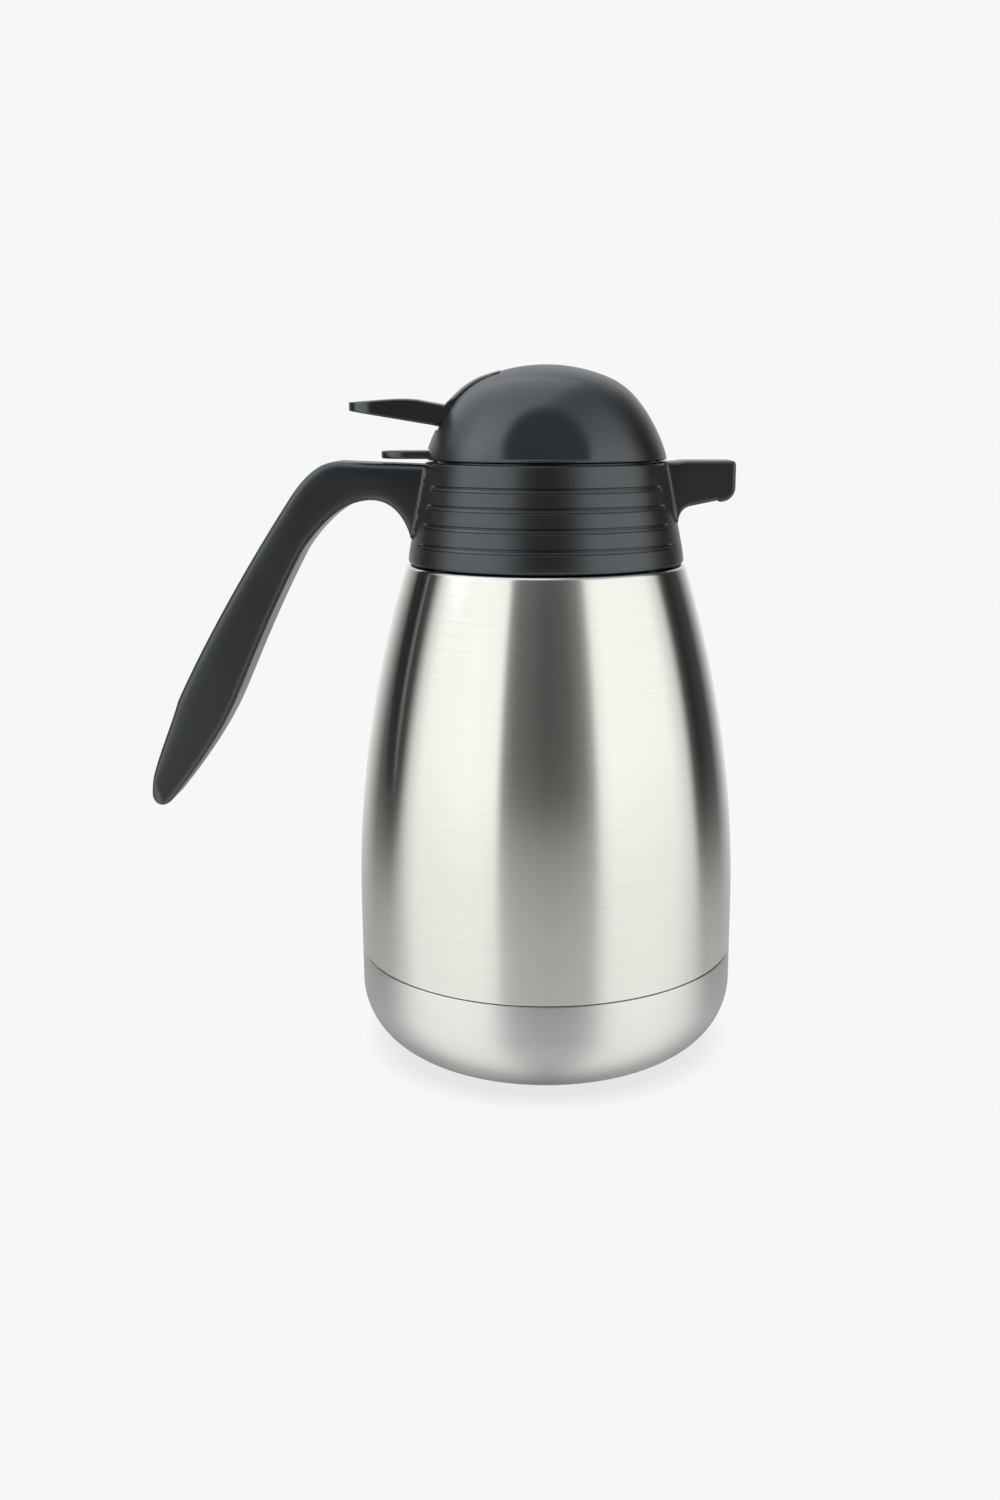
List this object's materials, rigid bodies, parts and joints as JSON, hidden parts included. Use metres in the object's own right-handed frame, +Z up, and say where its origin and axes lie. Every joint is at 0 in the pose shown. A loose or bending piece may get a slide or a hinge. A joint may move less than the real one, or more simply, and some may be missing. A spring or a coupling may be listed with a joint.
{
  "type": "insulated coffee pot",
  "caption": "Double-walled steel coffee pot with a plastic collar that forms spout and open handle, and a domed stopper lid with a thumb lever.",
  "frame": {"origin": "centre of the foot, on the plane the pot stands on", "axes": "+Z up along the body's axis, +X towards the spout, -X towards the handle, +Y across"},
  "size_m": [0.2044, 0.1316, 0.2352],
  "materials": {
    "brushed_steel": "brushed around the body",
    "plain_steel": "plain rolled",
    "black_plastic": "finely textured",
    "lever_plastic": "smooth satin",
    "natural_plastic": "satin",
    "silicone": "matte",
    "getter_metal": "sintered"
  },
  "bodies": {
    "pot": {"outer_shell": "brushed_steel", "base_cup": "brushed_steel", "vacuum_base": "plain_steel", "liner": "plain_steel", "liner_base": "plain_steel", "vacuum_seal": "getter_metal", "getter": "getter_metal", "collar": "black_plastic", "neck_ring": "natural_plastic", "neck_gasket": "silicone", "collar_seal": "silicone"},
    "seal": {"stopper_seal": "silicone"},
    "lid": {"dome": "black_plastic", "lid_base": "black_plastic", "stopper_cup": "black_plastic", "lid_gasket": "silicone", "stem_seal": "silicone", "lever_pin": "plain_steel", "valve_spring": "plain_steel", "lid_screw_1": "plain_steel", "lid_screw_2": "plain_steel", "lid_screw_3": "plain_steel", "lid_screw_4": "plain_steel"},
    "lever": {"lever": "lever_plastic"},
    "valve": {"valve_stem": "plain_steel", "stem_head": "natural_plastic", "valve_plug": "natural_plastic", "valve_gasket": "silicone"}
  },
  "joints": [
    {"name": "lid_lift", "type": "slide", "parent": "pot", "child": "seal", "axis": [0, 0, 1], "range_m": [0, 0.06]},
    {"name": "lid_turn", "type": "hinge", "parent": "seal", "child": "lid", "pos_m": [0, 0, 0.18], "axis": [0, 0, 1], "range_deg": [0, 120]},
    {"name": "lever_press", "type": "hinge", "parent": "lid", "child": "lever", "pos_m": [-0.029, 0, 0.2135], "axis": [0, -1, 0], "range_deg": [0, 8]},
    {"name": "valve_lift", "type": "slide", "parent": "lid", "child": "valve", "axis": [0, 0, 1], "range_m": [0, 0.005], "deforming": ["valve_spring"]}
  ],
  "couplings": [
    {"joint": "valve_lift", "follows": "lever_press", "m_per_rad": 0.035}
  ]
}
